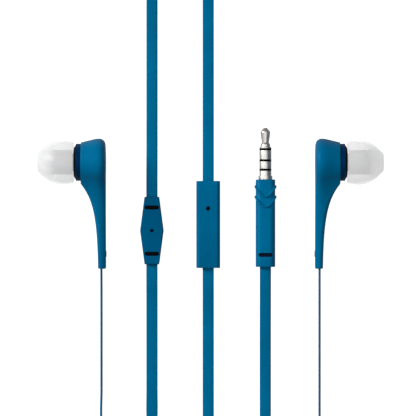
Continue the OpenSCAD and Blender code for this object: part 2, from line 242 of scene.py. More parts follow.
def cut(obj, tools, angle):
    """Takes the cutters out of the piece and removes them."""
    for tool in tools:
        step = obj.modifiers.new("cut", "BOOLEAN")
        step.operation = "DIFFERENCE"
        step.solver = "EXACT"
        step.object = tool
    apply_modifiers(obj)
    for tool in tools:
        mesh = tool.data
        bpy.data.objects.remove(tool)
        bpy.data.meshes.remove(mesh)
    clean(obj, angle)
    return obj


def loft(rings):
    """Closed rings of equal length, joined side by side and capped."""
    count = len(rings[0])
    verts = [p for ring in rings for p in ring]
    faces = []
    for i in range(len(rings) - 1):
        for j in range(count):
            k = (j + 1) % count
            faces.append((i * count + j, i * count + k, (i + 1) * count + k, (i + 1) * count + j))
    faces.append(tuple(range(count - 1, -1, -1)))
    faces.append(tuple((len(rings) - 1) * count + j for j in range(count)))
    return verts, faces


def box(low, high):
    x0, y0, z0 = low
    x1, y1, z1 = high
    return loft([
        [(x0, y0, z), (x1, y0, z), (x1, y1, z), (x0, y1, z)] for z in (z0, z1)
    ])


def prism(outline, z0, z1):
    return loft([[(x, y, z) for x, y in outline] for z in (z0, z1)])


def fillet(points, radius, closed=True, steps=6):
    """Rounds a polygon's corners; radius is one number or one per corner."""
    count = len(points)
    radii = radius if isinstance(radius, (list, tuple)) else [radius] * count
    result = []
    for i, here in enumerate(points):
        here = Vector(here)
        if radii[i] <= 0 or (not closed and i in (0, count - 1)):
            result.append(tuple(here))
            continue
        back = Vector(points[i - 1]) - here
        ahead = Vector(points[(i + 1) % count]) - here
        half = back.angle(ahead) / 2
        if half > math.radians(88):
            result.append(tuple(here))
            continue
        reach = min(radii[i] / math.tan(half), 0.49 * back.length, 0.49 * ahead.length)
        r = reach * math.tan(half)
        middle = here + (back.normalized() + ahead.normalized()).normalized() * (r / math.sin(half))
        a = here + back.normalized() * reach - middle
        b = here + ahead.normalized() * reach - middle
        total = a.angle_signed(b) if a.length and b.length else 0
        for s in range(steps + 1):
            turn = -total * s / steps
            c, d = math.cos(turn), math.sin(turn)
            result.append((middle.x + a.x * c - a.y * d, middle.y + a.x * d + a.y * c))
    return result


def lathe(profile, place, segments=96, round_off=0.0):
    """Turns a closed [radius, depth] profile about the depth axis."""
    points = fillet(profile, round_off) if round_off else profile
    verts, faces, rows = [], [], []
    for r, d in points:
        if r < 1e-6:
            rows.append([len(verts)] * segments)
            verts.append(place(0, 0, d))
            continue
        rows.append(list(range(len(verts), len(verts) + segments)))
        for s in range(segments):
            a = math.tau * s / segments
            verts.append(place(r * math.cos(a), r * math.sin(a), d))
    for i, row in enumerate(rows):
        after = rows[(i + 1) % len(rows)]
        for s in range(segments):
            t = (s + 1) % segments
            face = [row[s], row[t], after[t], after[s]]
            face = [v for n, v in enumerate(face) if v not in face[:n]]
            if len(face) > 2:
                faces.append(face)
    return verts, faces


def inset(outline, distance):
    """Moves a counter-clockwise outline inwards."""
    count = len(outline)
    result = []
    for i in range(count):
        a, b, c = (Vector(outline[(i + n) % count]) for n in (-1, 0, 1))
        before, after = (b - a).normalized(), (c - b).normalized()
        n1, n2 = Vector((-before.y, before.x)), Vector((-after.y, after.x))
        both = n1 + n2
        result.append(tuple(b + both * (distance / max(both.dot(n1), 0.3))))
    return result


def round_rect(w, h, r, steps=6):
    corners = [(w / 2, -h / 2), (w / 2, h / 2), (-w / 2, h / 2), (-w / 2, -h / 2)]
    return fillet(corners, r, steps=steps)


def pill(w, h):
    return round_rect(w, h, 0.489 * h, steps=12)


def disc(r, steps=48):
    return [(r * math.cos(math.tau * s / steps), r * math.sin(math.tau * s / steps))
            for s in range(steps)]


def rounded_block(outline, z0, z1, low_edge, high_edge, steps=5):
    """An outline raised from z0 to z1, with its two rims rounded."""
    rings = []
    for edge, z, way in ((low_edge, z0, 1), (high_edge, z1, -1)):
        band = []
        for s in range(steps + 1):
            a = math.pi / 2 * s / steps
            band.append((edge * (1 - math.sin(a)), z + way * edge * (1 - math.cos(a))))
        rings.extend(band if way > 0 else band[::-1])
    return loft([
        [(x, y, z) for x, y in (inset(outline, d) if d > 1e-6 else outline)] for d, z in rings
    ])


def moved(shape, at):
    verts, faces = shape
    return [(x + at[0], y + at[1], z + at[2]) for x, y, z in verts], faces


# ---------------------------------------------------------------- materials
# The part of a noise's range that is spread over a whole colour or gloss range
NOISE_LOW, NOISE_HIGH = 0.3, 0.7


def srgb(code):
    values = [int(code[i:i + 2], 16) / 255 for i in (0, 2, 4)]
    return tuple(v / 12.92 if v <= 0.04045 else ((v + 0.055) / 1.055) ** 2.4 for v in values) + (1,)


def new_material(name):
    material = bpy.data.materials.new(name)
    material.use_nodes = True
    tree = material.node_tree
    return material, tree, tree.nodes["Principled BSDF"]


def noise(tree, scale, detail=3, stretch=(1, 1, 1)):
    """Noise fixed to the object; scale is in cells per metre."""
    coords = tree.nodes.new("ShaderNodeTexCoord")
    mapping = tree.nodes.new("ShaderNodeMapping")
    mapping.inputs["Scale"].default_value = stretch
    texture = tree.nodes.new("ShaderNodeTexNoise")
    texture.inputs["Scale"].default_value = scale
    texture.inputs["Detail"].default_value = detail
    tree.links.new(coords.outputs["Object"], mapping.inputs["Vector"])
    tree.links.new(mapping.outputs["Vector"], texture.inputs["Vector"])
    return texture.outputs["Fac"]


def ramp(tree, source, low, high):
    node = tree.nodes.new("ShaderNodeValToRGB")
    node.color_ramp.elements[0].position = NOISE_LOW
    node.color_ramp.elements[0].color = low
    node.color_ramp.elements[1].position = NOISE_HIGH
    node.color_ramp.elements[1].color = high
    tree.links.new(source, node.inputs["Fac"])
    return node.outputs["Color"]


def span(tree, source, low, high):
    node = tree.nodes.new("ShaderNodeMapRange")
    node.inputs["From Min"].default_value = NOISE_LOW
    node.inputs["From Max"].default_value = NOISE_HIGH
    node.inputs["To Min"].default_value = low
    node.inputs["To Max"].default_value = high
    tree.links.new(source, node.inputs["Value"])
    return node.outputs["Result"]


def bump(tree, shader, source, distance):
    node = tree.nodes.new("ShaderNodeBump")
    node.inputs["Distance"].default_value = distance * MM
    tree.links.new(source, node.inputs["Height"])
    tree.links.new(node.outputs["Normal"], shader.inputs["Normal"])


def moulded(name, dark, light, rough, grain, height, level=0.2, tint="ffffff",
            metallic=0.0, tone=90, stretch=(1, 1, 1)):
    """Plastic, metal or cloth: slow tone change, fine grain, uneven gloss."""
    material, tree, shader = new_material(name)
    colour = ramp(tree, noise(tree, tone), srgb(dark), srgb(light))
    tree.links.new(colour, shader.inputs["Base Color"])
    fine = noise(tree, grain, 4, stretch)
    tree.links.new(span(tree, fine, rough[0], rough[1]), shader.inputs["Roughness"])
    bump(tree, shader, fine, height)
    shader.inputs["Metallic"].default_value = metallic
    shader.inputs["Specular IOR Level"].default_value = level
    shader.inputs["Specular Tint"].default_value = srgb(tint)
    return material


BLUE_TINT = "0a86c8"
MATERIALS = {
    "housing_blue": moulded("housing_blue", "005379", "005e85", (0.36, 0.44), 2600, 0.005,
                            0.2, BLUE_TINT),
    "splitter_blue": moulded("splitter_blue", "00486c", "005278", (0.4, 0.48), 2600, 0.005,
                             0.16, BLUE_TINT),
    # Painted shade: the collar takes the housing's blue made much darker, standing for the shade it lies in
    "collar_blue": moulded("collar_blue", "001e40", "00294c", (0.36, 0.44), 2600, 0.005,
                           0.16, BLUE_TINT),
    "button_blue": moulded("button_blue", "004a72", "00507a", (0.42, 0.5), 2600, 0.008,
                           0.25, BLUE_TINT),
    "cable_blue": moulded("cable_blue", "00577c", "006086", (0.44, 0.54), 1500, 0.012,
                          0.25, BLUE_TINT, stretch=(1, 0.25, 1)),
    "black_plastic": moulded("black_plastic", "010102", "030304", (0.45, 0.55), 2600, 0.004, 0.03),
    "nickel": moulded("nickel", "c4c0bb", "cdc9c4", (0.42, 0.47), 300, 0.0, 0.5,
                      metallic=1.0),
    "plated_steel": moulded("plated_steel", "9a9c9f", "b4b6b8", (0.3, 0.4), 3000, 0.002, 0.5,
                            metallic=1.0),
    "steel_mesh": moulded("steel_mesh", "54575b", "a9abad", (0.3, 0.5), 3500, 0.05, 0.5,
                          metallic=1.0, tone=3500),
    "magnet": moulded("magnet", "5c6065", "75797e", (0.35, 0.5), 2500, 0.004, 0.5, metallic=1.0),
    "copper_wire": moulded("copper_wire", "9c5a26", "c4803f", (0.3, 0.4), 5000, 0.02, 0.5,
                           metallic=0.8, stretch=(4, 0.2, 0.2)),
    # Painted shade: the plug's core is made near black so that the grip's slot shows as a deep, shadowed hole
    "core_navy": moulded("core_navy", "000a1a", "001026", (0.5, 0.6), 2500, 0.004, 0.05),
    "film": moulded("film", "cfc8b8", "ded8ca", (0.35, 0.45), 2500, 0.004, 0.4),
    "felt": moulded("felt", "2a2c2f", "4a4d50", (0.8, 0.95), 5000, 0.06, 0.1, tone=2500),
    "circuit_board": moulded("circuit_board", "12442a", "1f6640", (0.4, 0.5), 2500, 0.01, 0.4,
                             tone=700),
    "gold_can": moulded("gold_can", "ab8439", "c79f52", (0.25, 0.35), 3000, 0.003, 0.5,
                        metallic=1.0),
    "tie_fabric": moulded("tie_fabric", "0b0c0e", "1c1e21", (0.75, 0.9), 3500, 0.12, 0.1,
                          tone=2600, stretch=(1, 1, 0.4)),
}


# Distances from the middle between which a tip's look changes to that of its nose
NOSE_FADE = (44.9, 50.2)


def silicone(name, dark, light, alpha, nose_alpha, glow):
    """Milky rubber that shows some of what lies behind it, more or less so at the nose."""
    material, tree, shader = new_material(name)
    colour = ramp(tree, noise(tree, 150, 2), srgb(dark), srgb(light))
    tree.links.new(colour, shader.inputs["Base Color"])
    fine = noise(tree, 900, 2)
    tree.links.new(span(tree, fine, 0.3, 0.36), shader.inputs["Roughness"])
    coords = tree.nodes.new("ShaderNodeTexCoord")
    split = tree.nodes.new("ShaderNodeSeparateXYZ")
    tree.links.new(coords.outputs["Object"], split.inputs["Vector"])
    reach = tree.nodes.new("ShaderNodeMath")
    reach.operation = "ABSOLUTE"
    tree.links.new(split.outputs["X"], reach.inputs[0])
    fade = tree.nodes.new("ShaderNodeMapRange")
    fade.interpolation_type = "SMOOTHSTEP"
    fade.inputs["From Min"].default_value = NOSE_FADE[0] * MM
    fade.inputs["From Max"].default_value = NOSE_FADE[1] * MM
    fade.inputs["To Min"].default_value = alpha
    fade.inputs["To Max"].default_value = nose_alpha
    tree.links.new(reach.outputs["Value"], fade.inputs["Value"])
    tree.links.new(fade.outputs["Result"], shader.inputs["Alpha"])
    shader.inputs["Subsurface Weight"].default_value = 0.3
    shader.inputs["Subsurface Scale"].default_value = 0.002
    # Painted glow: the rubber gives off light of its own, which lifts its shaded side and evens out its shading
    shader.inputs["Emission Color"].default_value = (1, 1, 1, 1)
    shader.inputs["Emission Strength"].default_value = glow
    shader.inputs["IOR"].default_value = 1.41
    shader.inputs["Specular IOR Level"].default_value = 0.35
    return material


# Both rubbers glow a little, as painted light that evens out their shading
MATERIALS["silicone"] = silicone("silicone", "8a8c8d", "949697", 0.38, 0.8, 0.5)
MATERIALS["silicone_core"] = silicone("silicone_core", "5c5d5e", "646566", 0.95, 0.1, 0.21)

# ---------------------------------------------------------------- cords
CABLE_W = 3.3
CABLE_T = 0.9
LEAD_T = 0.62

# Routes along the cables' middle: x, y, z and twist in degrees, 0 lying flat
PLUG_ROUTE = [
    (16.15, -17.3, 2.6, 0), (16.15, -24, 2.25, 0), (16.15, -31, 1.2, 0),
    (16.15, -38, 0.55, 0), (16.15, -46, 0.45, 0), (16.15, -56, 0.45, 0),
    (16.15, -64, 0.45, 0), (16.15, -68, 1.25, 30), (16.15, -71.5, 1.7, 60),
    (16.15, -75.5, 1.7, 90), (17, -80.3, 1.8, 90), (20.5, -86.7, 2.05, 90),
]
REMOTE_ROUTE = [
    (6, -83.6, 2.15, 90), (3, -81.9, 2.05, 90), (1, -79.8, 1.9, 90), (-0.35, -77, 1.8, 90),
    (-0.68, -73.8, 1.7, 90), (-0.68, -70.5, 1.7, 60), (-0.68, -67, 1.25, 30),
    (-0.68, -63.5, 0.45, 0), (-0.68, -55, 0.45, 0), (-0.68, -46, 0.45, 0),
    (-0.68, -37, 0.55, 0), (-0.68, -30, 1.1, 0), (-0.68, -24, 1.9, 0),
    (-0.68, -17.8, 2.2, 0),
]
LINK_ROUTE = [
    (-0.68, 5.3, 2.2, 0), (-0.68, 11, 1.95, 0), (-0.68, 17, 1.15, 0),
    (-0.68, 24, 0.55, 0), (-0.68, 33, 0.45, 0), (-0.68, 42, 0.45, 0),
    (-0.68, 51, 0.45, 0), (-0.68, 60.5, 0.45, 0), (-0.68, 64, 1.25, 30),
    (-0.68, 67.5, 1.7, 60), (-0.68, 71, 1.7, 90), (-1.8, 75.1, 1.7, 90),
    (-4.8, 78.2, 1.7, 90), (-8.96, 79.3, 1.7, 90), (-13.1, 78.2, 1.7, 90),
    (-16.1, 75.1, 1.7, 90), (-17.25, 71, 1.7, 90), (-17.25, 67.5, 1.7, 60),
    (-17.25, 64, 1.25, 30), (-17.25, 60.5, 0.45, 0), (-17.25, 51, 0.45, 0),
    (-17.25, 42, 0.45, 0), (-17.25, 33, 0.45, 0), (-17.25, 20, 0.55, 0),
    (-17.25, 13, 1.1, 0), (-17.25, 7, 1.85, 0), (-17.25, 0.7, 2.1, 0),
]
LEFT_ROUTE = [
    (-17.25, -16.8, 1.77, 0), (-17.25, -23, 1.5, 0), (-17.25, -29, 0.8, 0),
    (-17.25, -36, 0.36, 0), (-17.25, -46, 0.32, 0), (-17.25, -55, 0.32, 0),
    (-17.25, -63, 0.32, 0), (-17.42, -66.5, 1.1, -30), (-17.55, -70, 1.6, -60),
    (-17.62, -73.5, 1.7, -90), (-17.66, -81, 1.8, -90), (-17.67, -89, 2.05, -90),
]
LEFT_END_ROUTE = [
    (-26.9, -77.5, 2.05, -90), (-29.9, -73.2, 1.85, -90), (-31.6, -69.2, 1.7, -90),
    (-32.1, -65, 1.68, -90), (-32.1, -55, 1.68, -90), (-32.1, -45, 1.68, -90),
    (-32.1, -35, 1.68, -90), (-32.1, -29, 1.72, -90), (-32.1, -24, 1.95, -90),
    (-32.1, -19, 2.54, -90), (-32.1, -13, 3.39, -90),
]
RIGHT_ROUTE = [
    (-17.25, -16.8, 2.43, 0), (-17.25, -23, 2.16, 0), (-17.25, -29, 1.46, 0),
    (-17.25, -36, 1.02, 0), (-17.25, -46, 0.98, 0), (-17.25, -55, 0.98, 0),
    (-17.25, -63, 0.99, 0), (-17.06, -66.5, 1.8, -30), (-16.88, -70, 2, -60),
    (-16.8, -73.5, 1.7, -90), (-16.2, -80, 1.68, -90), (-15.9, -88, 1.68, -90),
    (-15.9, -96, 1.68, -90), (-15.9, -104, 1.68, -90), (-13.8, -113.5, 1.68, -90),
    (-7.9, -121.2, 1.68, -90), (0.7, -125.6, 1.68, -90), (8.5, -126.3, 1.68, -90),
    (17, -125, 1.68, -90), (26, -121.6, 1.68, -90), (34, -117.8, 1.8, -90),
    (39.5, -115.1, 1.95, -90), (43.5, -113.9, 2.1, -90),
]
RIGHT_END_ROUTE = [
    (31.9, -84.5, 2.05, -90), (32.1, -79, 1.85, -90), (32.1, -72, 1.7, -90),
    (32.1, -64, 1.68, -90), (32.1, -55, 1.68, -90), (32.1, -45, 1.68, -90),
    (32.1, -35, 1.68, -90), (32.1, -29, 1.72, -90), (32.1, -24, 1.95, -90),
    (32.1, -19, 2.54, -90), (32.1, -13, 3.39, -90),
]

COIL_Z = 2.2
COIL_R = 16
COIL_PITCH = 1.25
MAIN_COIL = (6.5, -104)
LEFT_COIL = (-37, -95)
RIGHT_COIL = (48, -95)


def coil_route(at, total, enter, leave, twist, mirror=1):
    """Two strands wound side by side, joined by an S in the middle of the coil."""
    first = enter - total
    second = leave - first - 180
    points = []

    def add(r, angle, cx=0.0, cy=0.0):
        a = math.radians(angle)
        x, y = cx + r * math.cos(a), cy + r * math.sin(a)
        points.append((at[0] + mirror * x, at[1] + y, COIL_Z, twist))

    step = 7.5
    for s in range(math.ceil(total / step), 0, -1):
        turn = min(s * step, total)
        add(COIL_R + COIL_PITCH * turn / 180, first + turn)
    half = COIL_R / 2
    for side in (0, 180):
        a = math.radians(first + side)
        cx, cy = half * math.cos(a), half * math.sin(a)
        for s in range(12):
            bend = -15 * s if side == 0 else 15 * s
            add(half, first + bend, cx, cy)
    for s in range(math.ceil(second / step) + 1):
        turn = min(s * step, second)
        add(COIL_R + COIL_PITCH * turn / 180, first + 180 + turn)
    return points


def sampled(route, spacing=1.3):
    """The route as a smooth line, with flat runs kept flat."""
    count = len(route)
    gaps = [math.dist(route[i][:3], route[i + 1][:3]) for i in range(count - 1)]
    slopes = []
    for i in range(count):
        before = after = None
        if i > 0:
            before = [(b - a) / gaps[i - 1] for a, b in zip(route[i - 1], route[i])]
        if i < count - 1:
            after = [(b - a) / gaps[i] for a, b in zip(route[i], route[i + 1])]
        if before is None or after is None:
            slopes.append(before or after)
            continue
        share = gaps[i] / (gaps[i - 1] + gaps[i])
        slope = [b * share + a * (1 - share) for a, b in zip(after, before)]
        for k in (2, 3):
            a, b = before[k], after[k]
            slope[k] = 2 * a * b / (a + b) if a * b > 0 else 0
        slopes.append(slope)
    line = []
    for i, gap in enumerate(gaps):
        steps = max(1, round(gap / spacing))
        for s in range(steps):
            t = s / steps
            h = (2 * t**3 - 3 * t**2 + 1, t**3 - 2 * t**2 + t, 3 * t**2 - 2 * t**3, t**3 - t**2)
            line.append(tuple(
                h[0] * p + h[1] * gap * m + h[2] * q + h[3] * gap * n
                for p, m, q, n in zip(route[i], slopes[i], route[i + 1], slopes[i + 1])
            ))
    line.append(route[-1])
    return line


def ribbon(line, w, t):
    """A flat cable with round edges swept along a line of x, y, z and twist."""
    section = round_rect(w, t, 0.43 * t, steps=4)
    rings = []
    for i, point in enumerate(line):
        ahead = Vector(line[min(i + 1, len(line) - 1)][:3])
        heading = (ahead - Vector(line[max(i - 1, 0)][:3])).normalized()
        side = heading.cross(Vector((0, 0, 1))).normalized()
        up = side.cross(heading)
        a = math.radians(point[3])
        across = side * math.cos(a) - up * math.sin(a)
        out = up * math.cos(a) + side * math.sin(a)
        middle = Vector(point[:3])
        rings.append([tuple(middle + across * x + out * y) for x, y in section])
    return loft(rings)


def length_of(line):
    return sum(math.dist(a[:3], b[:3]) for a, b in zip(line, line[1:]))


cords = []


def add_cord(name, route, thickness, nodes, far_end, lay, with_pieces):
    """Makes the cable; it is declared once the pieces on it are there."""
    line = sampled(route)
    verts, faces = ribbon(line, CABLE_W, thickness)
    obj = add_piece(name, verts, faces, "cable_blue", nodes=nodes, angle=60)
    cords.append({
        "obj": obj,
        "path": [[c * MM for c in p[:3]] for p in line[::-1]],
        "length": round(length_of(line) * MM, 3),
        "far_end": far_end,
        "lay": lay,
        "with_pieces": with_pieces,
    })


def tie_names(coil):
    return [f"{coil}_tie_1", f"{coil}_tie_2"]


add_cord(
    "left_cord", LEFT_ROUTE + coil_route(LEFT_COIL, 480, 0, 35, -90) + LEFT_END_ROUTE,
    LEAD_T, ["left_lead", "left_coil", "left_lead_end"], "fitting", "coiled",
    ["splitter_front_shell_cover", "splitter_clamp"] + tie_names("left"),
)
add_cord(
    "right_cord", RIGHT_ROUTE + coil_route(RIGHT_COIL, 320, -90, 15, -90, -1) + RIGHT_END_ROUTE,
    LEAD_T, ["right_lead", "right_coil", "right_lead_end"], "fitting", "coiled",
    ["splitter_rear_shell_cover"] + tie_names("right"),
)
add_cord(
    "link_cord", LINK_ROUTE, CABLE_T, ["link_cable"], "fitting", "loose",
    ["remote_front_shell_cover", "remote_rear_shell_cover", "remote_board",
     "remote_dome_switch", "remote_microphone", "remote_mic_screen"],
)
add_cord(
    "main_cord",
    PLUG_ROUTE + coil_route(MAIN_COIL, 690, 30, 80, 90) + REMOTE_ROUTE,
    CABLE_T, ["plug_cable", "main_coil", "remote_cable"], "plug", "coiled",
    ["plug_core", "plug_sleeve", "pin_tip", "pin_barrel", "pin_insulator",
     "plug_ring_1_band", "plug_ring_2_band"] + tie_names("main"),
)

# ---------------------------------------------------------------- coil ties
TIE_BAND = 0.4
TIE_W = 4
TIE_ROOM = 3.6
TIE_INNER = 14.95


def add_tie(name, at, outer_r, angle):
    """A closed band of woven tape round one side of a coil."""
    outer = outer_r + 0.1
    middle, half = (TIE_INNER + outer) / 2, (outer - TIE_INNER) / 2
    outside = round_rect(2 * half + 2 * TIE_BAND, TIE_ROOM + 2 * TIE_BAND, 0.85, steps=5)
    inside = round_rect(2 * half, TIE_ROOM, 0.45, steps=5)
    turn = math.radians(angle)
    verts, faces = [], []
    # Places across the tape, and how far its outside is drawn in there
    stations = [(-0.5, 0.1), (-0.46, 0), (0.46, 0), (0.5, 0.1)]
    loops = [
        ([(x * (1 - s / half / 2), z * (1 - s / 2)) for x, z in outside], f) for f, s in stations
    ] + [(inside, 0.5), (inside, -0.5)]
    count = len(outside)
    for outline, f in loops:
        for x, z in outline:
            r, across = middle + x, f * TIE_W
            verts.append((
                at[0] + r * math.cos(turn) - across * math.sin(turn),
                at[1] + r * math.sin(turn) + across * math.cos(turn),
                TIE_BAND + TIE_ROOM / 2 + z,
            ))
    for i in range(len(loops)):
        j = (i + 1) % len(loops)
        for k in range(count):
            m = (k + 1) % count
            faces.append((i * count + k, i * count + m, j * count + m, j * count + k))
    return add_piece(name, verts, faces, "tie_fabric")


ties = [
    add_tie(f"{side}_tie_{n + 1}", at, outer_r, angle)
    for side, at, outer_r, angles in (
        ("main", MAIN_COIL, 21.3, (150, 330)),
        ("left", LEFT_COIL, 19.7, (150, 330)),
        ("right", RIGHT_COIL, 18.6, (120, 300)),
    )
    for n, angle in enumerate(angles)
]
for tie in ties:
    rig.replaces(tie, "coil_ties")

# ---------------------------------------------------------------- earbuds
# A bud's outer face lies at FACE_X, and its tip's axis at TIP_Y, TIP_Z
FACE_X, TIP_Y, TIP_Z = 30.75, 12, 6.95
LEAN = math.radians(8.1)
HEAD_R = 6.95
FACE_R = 5.1
FACE_ROUND = 1.85
SHOULDER = 3.35
STEM = 31.3
DEPTH = 7.25
RIM = 0.25
END_R = 0.14


def on_bud(side):
    """Takes a bud's own u (outwards along the tip), v and w to the row frame."""
    c, s = math.cos(LEAN), math.sin(LEAN)

    def place(u, v, w):
        return (side * (FACE_X + u), TIP_Y + v * c - w * s, TIP_Z + v * s + w * c)

    return place


def bud_lathe(side, profile, round_off=0.0, segments=96):
    place = on_bud(side)
    return lathe(profile, lambda a, b, d: place(d, a, b), segments, round_off)


def head_radius(u):
    """The head's profile: rounded outer face, shoulder, taper, rounded inner rim."""
    if u < FACE_ROUND:
        return FACE_R + math.sqrt(max(FACE_ROUND**2 - (FACE_ROUND - u)**2, 0))
    if u < SHOULDER:
        return HEAD_R - 0.0774 * (u - FACE_ROUND)**2
    if u < DEPTH - RIM:
        return 6.776 - 0.2416 * (u - SHOULDER)
    return 5.618 + math.sqrt(max(RIM**2 - (u - DEPTH + RIM)**2, 0))


def half_width(u, v):
    """Half the housing's width at depth u and height v."""
    r = head_radius(u)
    s = r / HEAD_R
    if v / s > -4:
        return math.sqrt(max(r * r - v * v, 0))
    return s * (2.4 + 3.28 * math.exp((v / s + 4) / 4.7))


def depth_span(v):
    """Where a level slice starts and ends along u, and its inner edge's radius."""
    start = 0.0
    end = DEPTH
    edge = 0.0
    if v > FACE_R:
        start = FACE_ROUND - math.sqrt(max(FACE_ROUND**2 - (v - FACE_R)**2, 0))
        if v > 5.87:
            low, high = FACE_ROUND, DEPTH - RIM
            for _ in range(40):
                middle = (low + high) / 2
                if head_radius(middle) > v:
                    low = middle
                else:
                    high = middle
            end = low
    if v < -5.7:
        end = min(DEPTH, 2.2 + 5.18 * math.exp((v + 5.8) / 6.6))
        edge = min(1.15, 0.25 + 0.9 * (-5.7 - v) / 6.3)
    return start, end, edge


def housing_rings():
    """Level slices from the stem's foot to the top of the head."""
    heights = [-STEM + END_R * (1 - math.cos(math.pi / 2 * s / 5)) for s in range(6)]
    heights += [-STEM + END_R + (18.3 - END_R) * s / 30 for s in range(1, 31)]
    heights += [-13 + 7.3 * s / 24 for s in range(1, 25)]
    heights += [-5.7 + 10.8 * s / 24 for s in range(1, 25)]
    heights += [5.1 + 1.849 * math.sin(math.pi / 2 * s / 20) for s in range(1, 21)]
    count = 30
    rings = []
    for v in heights:
        start, end, edge = depth_span(v)
        rise = min(v + STEM, END_R)
        pull = END_R - math.sqrt(max(END_R**2 - (END_R - rise)**2, 0))
        side = []
        for i in range(count + 1):
            u = start + (end - start) * (1 - math.cos(math.pi * i / count)) / 2
            w = half_width(u, v)
            if edge and u > end - edge:
                w -= edge - math.sqrt(max(edge * edge - (u - end + edge)**2, 0))
            middle = (start + end) / 2
            shrink = 1 - 2 * pull / (end - start)
            side.append((middle + (u - middle) * shrink, v, max(w - pull, 0.001)))
        rings.append([(u, v, -w) for u, v, w in side] + side[::-1])
    return rings


def add_housing(side, name):
    place = on_bud(side)
    rings = [[place(*p) for p in ring] for ring in housing_rings()]
    node = f"{name}_rear_housing"
    obj = add_piece(f"{name}_housing", *loft(rings), "housing_blue", nodes=[node], angle=34)
    chamber = cutter(*bud_lathe(side, [(0, 1.4), (5.15, 1.4), (5.15, 8.8), (0, 8.8)]))
    channel = box((0.95, -STEM - 1, -1.75), (1.77, -4.3, 1.75))
    channel = cutter([place(*p) for p in channel[0]], channel[1])
    cut(obj, [chamber, channel], angle=34)
    # A low raised bar on the outer face that tells the two buds apart by touch
    bar = []
    for lift, shrink in ((0.3, 0), (-0.06, 0), (-0.14, 0.06), (-0.17, 0.16)):
        outline = round_rect(1.5 - 2 * shrink, 1.9 - 2 * shrink, 0.7 - shrink)
        bar.append([place(lift, y - 27.15, x) for x, y in outline])
    add_piece(f"{name}_side_mark", *loft(bar), "housing_blue")


for side, name in ((-1, "left"), (1, "right")):
    add_housing(side, name)
    cap_r, base = 5.45, DEPTH + 1.45
    # The collar's darker blue is painted shade
    add_piece(
        f"{name}_collar",
        *bud_lathe(side, [(3.35, 6.5), (5.1, 6.5), (5.1, DEPTH), (cap_r, DEPTH),
                          (cap_r, base), (3.35, base)], 0.14),
        "collar_blue", nodes=[f"{name}_front_cap"])
    add_piece(
        f"{name}_spout",
        *bud_lathe(side, [(1.9, DEPTH), (3.3, DEPTH), (3.3, base), (5.2, base),
                          (4.1, base + 0.65), (2.65, base + 0.65), (2.65, base + 4),
                          (2.82, base + 4.35), (2.82, base + 4.9), (2.45, base + 5.4),
                          (1.9, base + 5.4)], 0.07),
        "black_plastic", nodes=[f"{name}_nozzle"])

    # Ear tip: outer dome, folded hem and the sleeve inside it
    nose, hem, widest, tip_r, nose_r = 20, 9.3, 12.8, 6.55, 2.6
    skirt = [(tip_r - 0.5 * (1 - s / 8)**2, hem + 0.1 + (widest - hem - 0.1) * s / 8)
             for s in range(8)]
    dome = [(nose_r + (tip_r - nose_r) * (1 - (s / 16)**2.1),
             widest + (nose - 0.12 - widest) * s / 16) for s in range(16)]
    dome += [(nose_r + 0.06, nose - 0.07), (nose_r - 0.15, nose), (1.75, nose),
             (1.55, nose - 0.1), (1.5, nose - 0.3), (1.5, 18.65), (3, 18.65)]
    inner = [(nose_r - 0.3 + (tip_r - nose_r - 0.3) * (1 - (s / 20)**2.1),
              widest + (nose - 1 - widest) * s / 20) for s in range(16, -1, -1)]
    inner += [(6.1, 11.6), (5.86, 10.4), (5.72, hem + 0.3), (5.8, hem + 0.06), (5.92, hem)]
    core = [(1.5, 18.6), (1.5, 15.5), (1.6, 15.25), (2.85, 15.15), (2.85, 9.85), (2.95, 9.75),
            (3.5, 9.75), (3.6, 9.85), (3.6, 17.6), (3.45, 18), (3.1, 18.6)]
    add_piece(f"{name}_silicone_tip", *bud_lathe(side, skirt + dome + inner, segments=128),
              "silicone", body=f"{name}_tip", nodes=[f"{name}_ear_tip"], angle=70)
    add_piece(f"{name}_tip_sleeve", *bud_lathe(side, core), "silicone_core",
              body=f"{name}_tip", nodes=[f"{name}_ear_tip"])


# ---------------------------------------------------------------- remote
REMOTE = (-0.68, -6.25, 2.2)
REMOTE_W, REMOTE_L, REMOTE_T = 7, 25.6, 4.4
BEVEL_W, BEVEL_H = 0.86, 0.78
NOTCH = CABLE_W + 0.2


def remote_shell(name, way, holes):
    """Half of the remote's shell: bevelled long edges, crisp ends, a cavity."""
    x, z = REMOTE_W / 2, REMOTE_T / 2
    profile = fillet([(-x, 0), (x, 0), (x, z - BEVEL_H), (x - BEVEL_W, z), (BEVEL_W - x, z),
                      (-x, z - BEVEL_H)], [0, 0, 0.3, 0.3, 0.3, 0.3], steps=4)
    half = REMOTE_L / 2
    rings = []
    for y, pull in ((-half, 0.14), (-half + 0.05, 0.05), (-half + 0.14, 0),
                    (half - 0.14, 0), (half - 0.05, 0.05), (half, 0.14)):
        fx, fz = 1 - pull / x, 1 - pull / z
        rings.append([(px * fx, y, way * pz * fz) for px, pz in profile])
    obj = add_piece(f"{name}_cover", *moved(loft(rings), REMOTE), "housing_blue",
                    nodes=[name], angle=32)
    cavity = box((0.8 - x, 1.6 - half, -1.4), (x - 0.8, half - 1.6, 1.4))
    cable = box((-NOTCH / 2, -half - 1, -0.6), (NOTCH / 2, half + 1, 0.6))
    tools = [cutter(*moved(tool, REMOTE)) for tool in [cavity, cable] + holes]
    return cut(obj, tools, angle=32)


MIC_Y, BUTTON_Y = 4.69, -2.6
mic_hole = moved(prism(disc(0.6), 0.5, 3), (0, MIC_Y, 0))
mic_rim = moved(loft([[(x * k, y * k, z) for x, y in disc(0.6)]
                      for k, z in ((1, 2.05), (1.16, 2.201), (1.3, 2.4))]), (0, MIC_Y, 0))
remote_shell("remote_front_shell", 1, [mic_hole, mic_rim])
remote_shell("remote_rear_shell", -1,
             [moved(prism(round_rect(3.6, 8, 1), -3, 0), (0, BUTTON_Y, 0))])

